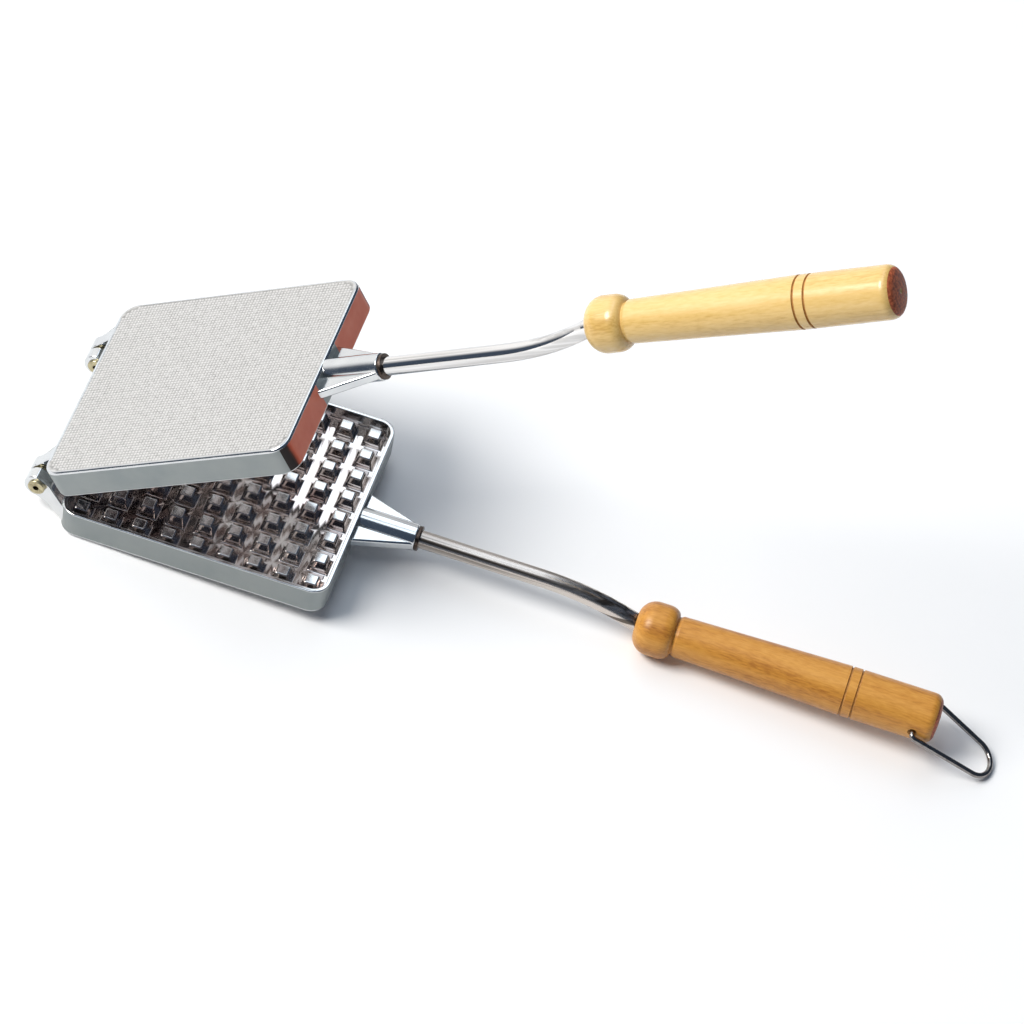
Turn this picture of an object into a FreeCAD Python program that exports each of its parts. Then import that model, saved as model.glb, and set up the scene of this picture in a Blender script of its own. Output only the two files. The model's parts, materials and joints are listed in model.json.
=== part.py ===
import FreeCAD, Part
import Sketcher
import math
import os
import re
from FreeCAD import Placement, Rotation, Vector

# A stove-top waffle iron: two equal cast plates, hinged at the back, each with a bent rod and a turned
# wooden handle. Each half is drawn closed, with the hinge axis along Y through the origin, the mating
# plane at Z = 0 and the handle towards +X. The upper half is the lower one turned over about X.
SIZES = {
    # cast plate and its mould
    "plate_length": 136.0,
    "plate_width": 120.0,
    "plate_thickness": 15.6,
    "corner_radius": 9.0,
    "edge_round": 2.0,
    "rear_hollow": 0.6,
    "rim_width": 2.2,
    "mould_depth": 8.0,
    "mould_corner_radius": 6.8,
    "stud_columns": 9,
    "stud_rows": 8,
    "stud_base": 9.4,
    "stud_top": 6.2,
    "stud_sink": 1.6,
    "mating_gap": 0.3,
    # two riveted hinges behind the plate
    "hinge_reach": 14.5,
    "hinge_inset": 17.5,
    "knuckle_diameter": 13.0,
    "knuckle_width": 7.0,
    "arm_rise": 3.7,
    "arm_flare": 6.0,
    "rivet_diameter": 5.0,
    "rivet_bore": 3.0,
    "rivet_head_diameter": 8.5,
    "rivet_head_thickness": 1.2,
    "hinge_washer_diameter": 10.0,
    "hinge_washer_thickness": 0.8,
    "spacer_diameter": 11.0,
    "spacer_thickness": 0.8,
    "side_clearance": 0.3,
    "running_clearance": 0.05,
    # socket at the front of the plate
    "socket_length": 29.0,
    "socket_drop": 8.6,
    "socket_diameter": 13.6,
    "socket_root_width": 33.0,
    "web_thickness": 5.0,
    "collar_diameter": 12.6,
    "collar_length": 1.8,
    "socket_pin_diameter": 3.0,
    "socket_pin_inset": 14.0,
    # bent rod
    "rod_diameter": 9.0,
    "rod_in_socket": 26.0,
    "rod_reach": 114.0,
    "rod_in_handle": 80.0,
    "bend_angle": 20.0,
    "bend_straight": 4.0,
    "bend_radius": 24.0,
    "bend_in_handle": 6.0,
    "mouth_clearance": 0.2,
    "handle_offset": 10.4,
    "fit_clearance": 0.05,
    "end_gap": 0.5,
    # turned handle
    "handle_length": 155.0,
    "bead_length": 20.0,
    "bead_diameter": 27.0,
    "bead_front_round": 9.0,
    "bead_back_round": 3.8,
    "neck_width": 1.6,
    "neck_diameter": 18.5,
    "grip_front_diameter": 20.5,
    "grip_diameter": 25.0,
    "ring_place": 110.2,
    "ring_spacing": 5.4,
    "ring_width": 1.2,
    "ring_depth": 0.7,
    "end_round": 3.0,
    "handle_pin_diameter": 2.5,
    "handle_pin_place": 60.0,
    "pin_past_axis": 2.5,
    "pin_recess": 0.4,
    # hanging loop
    "loop_wire": 2.8,
    "loop_inset": 11.0,
    "loop_length": 47.0,
    "loop_tip_radius": 10.2,
    "loop_bend_radius": 2.4,
    "loop_bend_start": 0.1,
    "loop_hook_length": 8.0,
    "loop_clearance": 0.08,
    "loop_lift": 0.2,
    # how far the two halves stand open
    "open_angle": 32.0,
}

doc = FreeCAD.newDocument("waffle_iron")
sheet = doc.addObject("Spreadsheet::Sheet", "sizes")
for row, (name, number) in enumerate(SIZES.items(), start=1):
    sheet.set(f"A{row}", name)
    sheet.set(f"B{row}", str(number))
    sheet.setAlias(f"B{row}", name)
doc.recompute()

# Places along a half and sizes that follow from the driving ones, as expressions on the sheet
face_level = "-(mating_gap / 2)"
outer_level = "-(mating_gap / 2 + plate_thickness)"
wall_front = "(hinge_reach + plate_length)"
socket_axis = "-(socket_drop)"
socket_end = "(hinge_reach + plate_length + socket_length)"
bead_front = "(hinge_reach + plate_length + socket_length + rod_reach)"
handle_axis = "-(socket_drop + handle_offset)"
hinge_middle = "(plate_width / 2 - hinge_inset)"
knuckle_pitch = "(knuckle_width + spacer_thickness + 2 * side_clearance)"
knuckle_pair = f"(knuckle_width + {knuckle_pitch})"
rivet_hole = "(rivet_diameter + 2 * running_clearance)"
rod_bore = "(rod_diameter + 2 * fit_clearance)"
sweep_radius = ("((handle_offset - bend_straight * sin(bend_angle)) / (1 - cos(bend_angle))"
                " - bend_radius)")
mouth_bore = ("(rod_diameter + 2 * mouth_clearance"
              " + 2 * (bend_radius - sqrt(bend_radius ^ 2 - bend_in_handle ^ 2)))")
bead_front_limit = "min(bead_front_round; 0.45 * bead_diameter; 0.6 * bead_length)"
bead_back_limit = "min(bead_back_round; 0.45 * (bead_diameter - neck_diameter))"
grip_start = "(bead_length + neck_width)"
taper_end = "(ring_place - ring_spacing / 2 - ring_width / 2)"
grip_slope = f"((grip_diameter - grip_front_diameter) / ({taper_end} - {grip_start}))"
grip_at_pin = f"(grip_front_diameter + {grip_slope} * (handle_pin_place - {grip_start}))"
loop_pivot = f"({bead_front} + handle_length - loop_inset)"
loop_half_width = "(grip_diameter / 2 + loop_bend_start + loop_bend_radius)"


def cells(expression):
    """An expression with each size's name pointing at its cell."""
    return re.sub(r"[a-z]\w*", lambda m: f"sizes.{m[0]}" if m[0] in SIZES else m[0], expression)


def value(expression):
    """The number that an expression on the sheet comes to."""
    result = sheet.evalExpression(cells(expression))
    return float(getattr(result, "Value", result))


def bind(target, path, expression):
    target.setExpression(path, cells(expression))


def new_body(label):
    body = doc.addObject("PartDesign::Body", label)
    body.Label = label
    return body


def origin_part(body, role):
    return next(part for part in body.Origin.OriginFeatures if part.Role == role)


def sketch_on(body, plane, depth="0", right="0", up="0"):
    """A sketch on an origin plane, moved along its normal and within the plane."""
    sketch = body.newObject("Sketcher::SketchObject", "Sketch")
    sketch.AttachmentSupport = [(origin_part(body, plane), "")]
    sketch.MapMode = "FlatFace"
    bind(sketch, "AttachmentOffset.Base.x", right)
    bind(sketch, "AttachmentOffset.Base.y", up)
    bind(sketch, "AttachmentOffset.Base.z", depth)
    return sketch


def constrain(sketch, expression, *constraint):
    """A dimension whose value follows the sheet."""
    index = sketch.addConstraint(Sketcher.Constraint(*constraint, value(expression)))
    bind(sketch, f"Constraints[{index}]", expression)


def fix_point(sketch, edge, end, place):
    """Hold one end of an edge at a place given by two expressions."""
    for kind, axis, expression in (("DistanceX", -2, place[0]), ("DistanceY", -1, place[1])):
        if expression == "0":
            sketch.addConstraint(Sketcher.Constraint("PointOnObject", edge, end, axis))
        else:
            constrain(sketch, expression, kind, -1, 1, edge, end)


def outline(sketch, corners):
    """A closed outline of straight edges through its corners."""
    points = [Vector(value(x), value(y), 0) for x, y in corners]
    edges = []
    for start, stop in zip(points, points[1:] + points[:1]):
        edges.append(sketch.addGeometry(Part.LineSegment(start, stop)))
    for edge, following in zip(edges, edges[1:] + edges[:1]):
        sketch.addConstraint(Sketcher.Constraint("Coincident", edge, 2, following, 1))
    for edge, corner in zip(edges, corners):
        fix_point(sketch, edge, 1, corner)


def rectangle(sketch, x, y, length, width):
    """A rectangle about a centre."""
    near_x, far_x = f"{x} - {length} / 2", f"{x} + {length} / 2"
    near_y, far_y = f"{y} - {width} / 2", f"{y} + {width} / 2"
    outline(sketch, [(near_x, near_y), (far_x, near_y), (far_x, far_y), (near_x, far_y)])


def sketch_path(sketch, curves, joints):
    """An open path of lines and arcs that run smoothly into each other."""
    edges = [sketch.addGeometry(curve) for curve in curves]
    for first, first_end, second, second_end in joints:
        sketch.addConstraint(
            Sketcher.Constraint("Tangent", edges[first], first_end, edges[second], second_end))
    return edges


def circle(sketch, x, y, diameter):
    centre = Vector(value(x), value(y), 0)
    ring = sketch.addGeometry(Part.Circle(centre, Vector(0, 0, 1), value(diameter) / 2))
    fix_point(sketch, ring, 3, (x, y))
    constrain(sketch, diameter, "Diameter", ring)


def pad(body, sketch, length, both_ways=False, backwards=False):
    feature = body.newObject("PartDesign::Pad", "Pad")
    feature.Profile = sketch
    feature.SideType = "Symmetric" if both_ways else "One side"
    feature.Reversed = backwards
    bind(feature, "Length", length)
    return feature


def pocket(body, sketch, length, backwards=False):
    feature = body.newObject("PartDesign::Pocket", "Pocket")
    feature.Profile = sketch
    feature.Reversed = backwards
    bind(feature, "Length", length)
    return feature


def through_hole(body, sketch):
    """A hole right through, both ways from its sketch."""
    feature = body.newObject("PartDesign::Pocket", "Hole")
    feature.Profile = sketch
    feature.SideType = "Symmetric"
    feature.Type = "ThroughAll"
    return feature


def revolution(body, sketch, axis):
    feature = body.newObject("PartDesign::Revolution", "Revolution")
    feature.Profile = sketch
    feature.ReferenceAxis = (sketch, [axis])
    feature.Angle = 360
    return feature


def round_edges(body, feature, radius, chosen):
    """Round the edges of a feature that the test picks."""
    doc.recompute()
    names = [f"Edge{n}" for n, edge in enumerate(feature.Shape.Edges, start=1) if chosen(edge)]
    fillet = body.newObject("PartDesign::Fillet", "Round")
    fillet.Base = (feature, names)
    bind(fillet, "Radius", radius)
    return fillet


def is_upright(edge):
    return abs(edge.BoundBox.ZLength - edge.Length) < 1e-6


def is_level(edge, axis, level):
    """Whether both ends of an edge lie at one level along an axis."""
    return all(abs(getattr(vertex, axis) - level) < 1e-4 for vertex in edge.Vertexes)


def is_circle(edge, axis, level, diameter):
    """Whether an edge is a circle of a diameter, square to an axis at a level."""
    radius = getattr(edge.Curve, "Radius", 0)
    return is_level(edge, axis, level) and abs(2 * radius - diameter) < 1e-4


def ring(label, plane, depth, right, up, inner, outer, length):
    """A plain ring or washer, padded along its plane's normal."""
    body = new_body(label)
    sketch = sketch_on(body, plane, depth, right, up)
    circle(sketch, "0", "0", outer)
    circle(sketch, "0", "0", inner)
    pad(body, sketch, length)
    return body


def make_plate(label, pin_side):
    """One casting: plate, mould with studs, two hinge knuckles, and the socket for the rod."""
    body = new_body(label)
    middle = "hinge_reach + plate_length / 2"
    slab = sketch_on(body, "XY_Plane", face_level)
    rectangle(slab, middle, "0", "plate_length", "plate_width")
    pad(body, slab, "plate_thickness", backwards=True)

    # The rear wall is a little hollow, so that the plate stands on its two rear corners
    rear_reach = "(plate_width / 2 + rim_width)"
    rear_radius = f"(({rear_reach} ^ 2 + rear_hollow ^ 2) / (2 * rear_hollow))"
    hollow = sketch_on(body, "XY_Plane", face_level)
    circle(hollow, f"hinge_reach + rear_hollow - {rear_radius}", "0", f"2 * {rear_radius}")
    pocket(body, hollow, "plate_thickness")

    # The mould is a shallow tray inside the rim, and its corners are rounded before the outer ones
    mould_length, mould_width = "(plate_length - 2 * rim_width)", "(plate_width - 2 * rim_width)"
    tray = sketch_on(body, "XY_Plane", face_level)
    rectangle(tray, middle, "0", mould_length, mould_width)
    mould = pocket(body, tray, "mould_depth")
    for radius, foot in (("mould_corner_radius", f"{face_level} - mould_depth"), ("corner_radius", outer_level)):
        level = value(foot)
        mould = round_edges(body, mould, radius,
                            lambda edge: is_upright(edge) and abs(edge.BoundBox.ZMin - level) < 1e-4)
    bottom = value(outer_level)
    round_edges(body, mould, "edge_round", lambda edge: is_level(edge, "Z", bottom))

    # Each knuckle is a round eye on an arm that runs down to the back wall and spreads on its open side
    for side in ("-1", "1"):
        knuckle_middle = f"({side} * {hinge_middle} - {knuckle_pitch} / 2)"
        open_face = f"({knuckle_middle} - knuckle_width / 2)"
        arm = sketch_on(body, "XZ_Plane", f"-({knuckle_middle} - arm_flare / 2)")
        arm_root = "(hinge_reach + 0.8 * rim_width)"
        outline(arm, [
            ("0", "-knuckle_diameter / 2"),
            (arm_root, f"{outer_level} + arm_rise"),
            (arm_root, "-edge_round"),
            ("0", "knuckle_diameter / 2"),
        ])
        pad(body, arm, "knuckle_width + arm_flare", both_ways=True)
        taper = sketch_on(body, "XY_Plane")
        outline(taper, [
            ("knuckle_diameter / 2", open_face),
            ("hinge_reach", f"{open_face} - arm_flare"),
            ("-knuckle_diameter / 2", f"{open_face} - 2 * arm_flare"),
            ("-knuckle_diameter / 2", open_face),
        ])
        through_hole(body, taper)
        eye = sketch_on(body, "XZ_Plane", f"-{knuckle_middle}")
        circle(eye, "0", "0", "knuckle_diameter")
        pad(body, eye, "knuckle_width", both_ways=True)
    pin_hole = sketch_on(body, "XZ_Plane")
    circle(pin_hole, "0", "0", rivet_hole)
    through_hole(body, pin_hole)

    # The socket is a round barrel between two flat webs that spread towards the wall
    web_root = f"({wall_front} - rim_width / 2)"
    web = sketch_on(body, "XY_Plane", socket_axis)
    outline(web, [
        (web_root, "-socket_root_width / 2"),
        (socket_end, "-socket_diameter / 2"),
        (socket_end, "socket_diameter / 2"),
        (web_root, "socket_root_width / 2"),
    ])
    pad(body, web, "web_thickness", both_ways=True)
    barrel = sketch_on(body, "YZ_Plane", web_root)
    circle(barrel, "0", socket_axis, "socket_diameter")
    pad(body, barrel, "socket_length + rim_width / 2")
    bore = sketch_on(body, "YZ_Plane", socket_end)
    circle(bore, "0", socket_axis, rod_bore)
    pocket(body, bore, "rod_in_socket + end_gap")
    pin_bore = sketch_on(body, "XY_Plane", socket_axis)
    circle(pin_bore, f"{socket_end} - socket_pin_inset", "0", "socket_pin_diameter + 2 * fit_clearance")
    pocket(body, pin_bore, "socket_diameter", backwards=pin_side > 0)

    # Rows of tapered studs fill the mould
    column_pitch = f"({mould_length} / stud_columns)"
    row_pitch = f"({mould_width} / stud_rows)"
    first_stud = sketch_on(body, "XY_Plane", f"{face_level} - mould_depth")
    stud_x = f"hinge_reach + rim_width + {column_pitch} / 2"
    stud_y = f"rim_width + {row_pitch} / 2 - plate_width / 2"
    rectangle(first_stud, stud_x, stud_y, "stud_base", "stud_base")
    stud = pad(body, first_stud, "mould_depth - stud_sink")
    bind(stud, "TaperAngle", "-atan((stud_base - stud_top) / 2 / (mould_depth - stud_sink))")
    doc.recompute()
    grid = body.newObject("PartDesign::LinearPattern", "Studs")
    grid.Originals = [stud]
    grid.Direction = (origin_part(body, "X_Axis"), [""])
    grid.Direction2 = (origin_part(body, "Y_Axis"), [""])
    bind(grid, "Length", f"{column_pitch} * (stud_columns - 1)")
    bind(grid, "Occurrences", "stud_columns")
    bind(grid, "Length2", f"{row_pitch} * (stud_rows - 1)")
    bind(grid, "Occurrences2", "stud_rows")
    body.Tip = grid
    return body


def make_rod(label, pin_side):
    """A round steel rod with a long bend and a short one back, drilled for its two pins."""
    body = new_body(label)
    start = f"({socket_end} - rod_in_socket)"
    bend_end = f"({bead_front} + bend_in_handle)"
    section = sketch_on(body, "YZ_Plane", start)
    circle(section, "0", socket_axis, "rod_diameter")

    path = sketch_on(body, "XZ_Plane")
    turn = math.radians(value("bend_angle"))
    sweep, radius, slope = value(sweep_radius), value("bend_radius"), value("bend_straight")
    high, low = value(socket_axis), value(handle_axis)
    foot = Vector(value(bend_end), low, 0)
    knee = Vector(foot.x - (sweep + radius) * math.sin(turn) - slope * math.cos(turn), high, 0)
    first_centre = knee - Vector(0, sweep, 0)
    second_centre = foot + Vector(0, radius, 0)
    spoke = Vector(math.sin(turn), math.cos(turn), 0)
    tail = Vector(value(f"{bead_front} + rod_in_handle"), low, 0)
    upright = math.pi / 2
    normal = Vector(0, 0, 1)
    straight = sketch_path(path, [
        Part.LineSegment(Vector(value(start), high, 0), knee),
        Part.ArcOfCircle(Part.Circle(first_centre, normal, sweep), upright - turn, upright),
        Part.LineSegment(first_centre + spoke * sweep, second_centre - spoke * radius),
        Part.ArcOfCircle(Part.Circle(second_centre, normal, radius), 3 * upright - turn, 3 * upright),
        Part.LineSegment(foot, tail),
    ], [(0, 2, 1, 2), (1, 1, 2, 1), (2, 2, 3, 1), (3, 2, 4, 1)])
    fix_point(path, straight[0], 1, (start, socket_axis))
    path.addConstraint(Sketcher.Constraint("Horizontal", straight[0]))
    path.addConstraint(Sketcher.Constraint("Horizontal", straight[4]))
    constrain(path, sweep_radius, "Radius", straight[1])
    constrain(path, "bend_radius", "Radius", straight[3])
    constrain(path, "-bend_angle", "Angle", -1, 1, straight[2], 1)
    fix_point(path, straight[4], 1, (bend_end, handle_axis))
    constrain(path, f"{bead_front} + rod_in_handle", "DistanceX", -1, 1, straight[4], 2)

    pipe = body.newObject("PartDesign::AdditivePipe", "Rod")
    pipe.Profile = section
    pipe.Spine = path
    holes = (
        (f"{socket_end} - socket_pin_inset", "socket_pin_diameter", socket_axis),
        (f"{bead_front} + handle_pin_place", "handle_pin_diameter", handle_axis),
    )
    for place, diameter, level in holes:
        hole = sketch_on(body, "XY_Plane", f"{level} - {pin_side} * pin_past_axis")
        circle(hole, place, "0", f"{diameter} + 2 * fit_clearance")
        pocket(body, hole, "2 * rod_diameter", backwards=pin_side > 0)
    return body


def make_handle(label, pin_side, with_loop):
    """A turned handle: round bead, neck, tapered grip with two ring grooves, and a rounded end."""
    body = new_body(label)
    profile = sketch_on(body, "XZ_Plane", "0", bead_front, handle_axis)
    corners = [
        ("0", "0"),
        ("0", "bead_diameter / 2"),
        ("bead_length", "bead_diameter / 2"),
        ("bead_length", "neck_diameter / 2"),
        (grip_start, "neck_diameter / 2"),
        (grip_start, "grip_front_diameter / 2"),
    ]
    for side in ("-1", "1"):
        middle = f"(ring_place + {side} * ring_spacing / 2)"
        corners += [
            (f"{middle} - ring_width / 2", "grip_diameter / 2"),
            (middle, "grip_diameter / 2 - ring_depth"),
            (f"{middle} + ring_width / 2", "grip_diameter / 2"),
        ]
    corners += [("handle_length", "grip_diameter / 2"), ("handle_length", "0")]
    outline(profile, corners)
    turned = revolution(body, profile, "H_Axis")

    rims = (
        (bead_front, "bead_diameter", bead_front_limit),
        (f"{bead_front} + bead_length", "bead_diameter", bead_back_limit),
        (f"{bead_front} + handle_length", "grip_diameter", "end_round"),
    )
    for place, diameter, radius in rims:
        level, across = value(place), value(diameter)
        turned = round_edges(body, turned, radius, lambda edge: is_circle(edge, "X", level, across))

    # The mouth is wider than the bore, to take the end of the rod's bend
    mouth = sketch_on(body, "YZ_Plane", bead_front)
    circle(mouth, "0", handle_axis, mouth_bore)
    pocket(body, mouth, "bend_in_handle + end_gap", backwards=True)
    bore = sketch_on(body, "YZ_Plane", bead_front)
    circle(bore, "0", handle_axis, rod_bore)
    pocket(body, bore, "rod_in_handle + end_gap", backwards=True)
    pin_hole = sketch_on(body, "XY_Plane", handle_axis)
    circle(pin_hole, f"{bead_front} + handle_pin_place", "0", "handle_pin_diameter + 2 * fit_clearance")
    pocket(body, pin_hole, "bead_diameter", backwards=pin_side > 0)
    if with_loop:
        pivot = sketch_on(body, "XZ_Plane")
        circle(pivot, loop_pivot, handle_axis, "loop_wire + 2 * loop_clearance")
        through_hole(body, pivot)
    return body


def make_rivet(label, side):
    """A tubular rivet, with a head against the lower knuckle and a formed head over the washer."""
    body = new_body(label)
    middle = f"{side} * {hinge_middle}"
    near_face = f"(-{knuckle_pair} / 2)"
    far_face = f"({knuckle_pair} / 2 + side_clearance + hinge_washer_thickness)"
    profile = sketch_on(body, "XY_Plane", "0", "0", middle)
    bore, shank, head = "rivet_bore / 2", "rivet_diameter / 2", "rivet_head_diameter / 2"
    outline(profile, [
        (bore, f"{near_face} - rivet_head_thickness"),
        (head, f"{near_face} - rivet_head_thickness"),
        (head, near_face),
        (shank, near_face),
        (shank, far_face),
        (head, far_face),
        (head, f"{far_face} + rivet_head_thickness"),
        (bore, f"{far_face} + rivet_head_thickness"),
    ])
    turned = revolution(body, profile, "V_Axis")
    for place in (f"{near_face} - rivet_head_thickness", f"{far_face} + rivet_head_thickness"):
        level, across = value(f"{middle} + {place}"), value("rivet_head_diameter")
        turned = round_edges(body, turned, "rivet_head_thickness / 2",
                             lambda edge: is_circle(edge, "Y", level, across))
    return body


def make_loop(label):
    """A wire loop: two hooks on the pivot line, two legs that draw together, and a round tip."""
    body = new_body(label)
    bend, tip = value("loop_bend_radius"), value("loop_tip_radius")
    half_width, length = value(loop_half_width), value("loop_length")
    hook_start = "(grip_diameter / 2 - loop_hook_length)"
    section = sketch_on(body, "XZ_Plane", hook_start)
    circle(section, "0", "0", "loop_wire")

    path = sketch_on(body, "XY_Plane")
    rise, run = half_width - bend, length - tip - bend
    lean_in = math.acos((tip - bend) / math.hypot(rise, run)) - math.atan2(run, rise)
    bend_centre = Vector(bend, -rise, 0)
    tip_centre = Vector(length - tip, 0, 0)
    across = Vector(math.sin(lean_in), -math.cos(lean_in), 0)
    normal = Vector(0, 0, 1)
    edges = sketch_path(path, [
        Part.LineSegment(Vector(0, -value(hook_start), 0), Vector(0, -rise, 0)),
        Part.ArcOfCircle(Part.Circle(bend_centre, normal, bend), math.pi, 1.5 * math.pi + lean_in),
        Part.LineSegment(bend_centre + across * bend, tip_centre + across * tip),
        Part.ArcOfCircle(Part.Circle(tip_centre, normal, tip), -math.pi / 2 + lean_in, 0),
    ], [(0, 2, 1, 1), (1, 2, 2, 1), (2, 2, 3, 1)])
    fix_point(path, edges[0], 1, ("0", f"-{hook_start}"))
    path.addConstraint(Sketcher.Constraint("Vertical", edges[0]))
    constrain(path, "loop_bend_radius", "Radius", edges[1])
    constrain(path, f"-({loop_half_width} - loop_bend_radius)", "DistanceY", -1, 1, edges[0], 2)
    constrain(path, "loop_tip_radius", "Radius", edges[3])
    fix_point(path, edges[3], 3, ("loop_length - loop_tip_radius", "0"))
    path.addConstraint(Sketcher.Constraint("PointOnObject", edges[3], 2, -1))

    half = body.newObject("PartDesign::AdditivePipe", "Wire")
    half.Profile = section
    half.Spine = path
    doc.recompute()
    whole = body.newObject("PartDesign::Mirrored", "Loop")
    whole.Originals = [half]
    whole.MirrorPlane = (origin_part(body, "XZ_Plane"), [""])
    body.Tip = whole
    return body


def make_pin(label, diameter, place, level, reach, side):
    """A plain pin across a rod, from past the rod's axis out to just under the surface."""
    pin = doc.addObject("Part::Cylinder", label)
    pin.Label = label
    bind(pin, "Radius", f"{diameter} / 2")
    inner = "(pin_past_axis - end_gap)"
    bind(pin, "Height", f"{reach} - pin_recess + {inner}")
    turn = Rotation(Vector(1, 0, 0), 0 if side > 0 else 180)
    pin.Placement = Placement(Vector(value(place), 0, value(level) - side * value(inner)), turn)
    return pin


# Both pins of a half go in from the side that faces the table in use.
halves = {"lower": [], "upper": []}
pin_sides = {"lower": -1, "upper": 1}
for half, pieces in halves.items():
    side = pin_sides[half]
    pieces.append(make_plate(f"{half}_plate", side))
    pieces.append(make_rod(f"{half}_rod", side))
    pieces.append(ring(f"{half}_collar", "YZ_Plane", socket_end, "0", socket_axis,
                       rod_bore, "collar_diameter", "collar_length"))
    pieces.append(make_pin(f"{half}_socket_pin", "socket_pin_diameter", f"{socket_end} - socket_pin_inset",
                           socket_axis, "socket_diameter / 2", side))
    pieces.append(make_handle(f"{half}_handle", side, with_loop=half == "lower"))
    pieces.append(make_pin(f"{half}_handle_pin", "handle_pin_diameter", f"{bead_front} + handle_pin_place",
                           handle_axis, f"{grip_at_pin} / 2", side))
for hinge, side in (("near", "-1"), ("far", "1")):
    middle = f"{side} * {hinge_middle}"
    spacer_face = f"({middle} + spacer_thickness / 2)"
    washer_face = f"({middle} + {knuckle_pair} / 2 + side_clearance + hinge_washer_thickness)"
    halves["lower"].append(make_rivet(f"{hinge}_hinge_rivet", side))
    halves["lower"].append(ring(f"{hinge}_hinge_spacer", "XZ_Plane", f"-{spacer_face}", "0", "0",
                                rivet_hole, "spacer_diameter", "spacer_thickness"))
    halves["lower"].append(ring(f"{hinge}_hinge_washer", "XZ_Plane", f"-{washer_face}", "0", "0",
                                rivet_hole, "hinge_washer_diameter", "hinge_washer_thickness"))
loop = make_loop("hanging_loop")
doc.recompute()

# The lower half leans on two points of the table: the back edge of its plate and its handle's bead.
edge_x, edge_z = value("hinge_reach + edge_round"), value(f"{outer_level} + edge_round")
bead_x = value(f"{bead_front} + {bead_front_limit}")
bead_z = value(f"{handle_axis} - bead_diameter / 2 + {bead_front_limit}")
run, drop = bead_x - edge_x, bead_z - edge_z
round_difference = value(f"{bead_front_limit} - edge_round")
lean = math.asin(round_difference / math.hypot(run, drop)) - math.atan2(drop, run)
table = edge_x * math.sin(lean) + edge_z * math.cos(lean) - value("edge_round")

# The loop hangs from its pivot until its tip is just clear of the table.
pivot_x, pivot_z = value(loop_pivot), value(handle_axis)
pivot_height = pivot_x * math.sin(lean) + pivot_z * math.cos(lean) - table
tip_drop = (pivot_height - value("loop_wire / 2 + loop_lift")) / value("loop_length")
droop = lean + math.asin(tip_drop)

across = Vector(0, 1, 0)
lower_place = Placement(Vector(), Rotation(across, -math.degrees(lean)))
turned_over = Placement(Vector(), Rotation(Vector(1, 0, 0), 180))
upper_place = Placement(Vector(), Rotation(across, -math.degrees(lean) - value("open_angle"))) * turned_over
loop_place = lower_place * Placement(Vector(pivot_x, 0, pivot_z), Rotation(across, math.degrees(droop)))
placed = [(piece, lower_place) for piece in halves["lower"]]
placed += [(piece, upper_place) for piece in halves["upper"]]
placed.append((loop, loop_place))
for piece, place in placed:
    piece.Placement = place * piece.Placement
doc.recompute()

# The origin is on the table, under the middle of the whole iron.
box = FreeCAD.BoundBox()
for piece, place in placed:
    box.add(piece.Shape.optimalBoundingBox(False, False))
shift = Placement(Vector(-box.Center.x, -box.Center.y, -box.ZMin), Rotation())
for piece, place in placed:
    piece.Placement = shift * piece.Placement
doc.recompute()

for item in doc.Objects:
    if "Invalid" in item.State or "Error" in item.State:
        raise RuntimeError(f"{item.Name} ({item.Label}) did not compute: {item.State}")
for piece, place in placed:
    if piece.Shape.isNull() or not piece.Shape.isValid():
        raise RuntimeError(f"{piece.Label} has no valid shape")

os.makedirs("parts", exist_ok=True)
for piece, place in placed:
    piece.Shape.exportStep(f"parts/{piece.Label}.step")

hinge_point = shift.multVec(Vector())
pivot_point = shift.multVec(lower_place.multVec(Vector(pivot_x, 0, pivot_z)))
print("size", [round(length, 2) for length in (box.XLength, box.YLength, box.ZLength)])
print("lean", round(math.degrees(lean), 4), "droop", round(math.degrees(droop - lean), 4))
print("hinge", [round(c, 4) for c in hinge_point], "pivot", [round(c, 4) for c in pivot_point])
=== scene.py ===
import json
import math

import bmesh
import bpy
from mathutils import Euler, Matrix, Vector


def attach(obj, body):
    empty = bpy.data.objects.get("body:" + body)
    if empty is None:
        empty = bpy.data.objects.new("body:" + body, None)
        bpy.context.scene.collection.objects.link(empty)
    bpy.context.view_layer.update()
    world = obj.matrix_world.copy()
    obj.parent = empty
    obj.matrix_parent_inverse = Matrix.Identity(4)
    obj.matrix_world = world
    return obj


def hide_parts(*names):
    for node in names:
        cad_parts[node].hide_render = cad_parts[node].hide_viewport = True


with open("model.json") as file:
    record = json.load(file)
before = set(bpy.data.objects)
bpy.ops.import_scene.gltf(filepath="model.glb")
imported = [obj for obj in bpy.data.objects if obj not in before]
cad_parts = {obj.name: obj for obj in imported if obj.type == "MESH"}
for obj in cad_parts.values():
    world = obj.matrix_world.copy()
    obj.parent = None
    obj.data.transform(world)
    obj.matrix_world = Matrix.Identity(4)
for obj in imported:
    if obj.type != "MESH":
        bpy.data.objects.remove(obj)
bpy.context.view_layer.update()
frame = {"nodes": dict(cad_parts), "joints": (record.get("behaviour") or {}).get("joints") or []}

# The cast plates: one aluminium casting used twice, the upper one turned over on the hinge.
# A rim runs round a tray of square studs, and the back that lies on the burner is stippled.
# Two hinge knuckles stand at the rear wall, and a flared socket for the rod at the front one.
mm = 0.001
hair, speck = 0.1 * mm, 0.001 * mm
hinge = Vector(next(joint["pos_m"] for joint in frame["joints"] if joint["name"] == "plate_hinge"))
lean, opened = math.radians(3.3542), math.radians(32)
turned_over = Matrix.Rotation(math.pi, 4, "X")
places = {
    "lower": Matrix.Translation(hinge) @ Matrix.Rotation(-lean, 4, "Y"),
    "upper": Matrix.Translation(hinge) @ Matrix.Rotation(-lean - opened, 4, "Y") @ turned_over,
}

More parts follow.
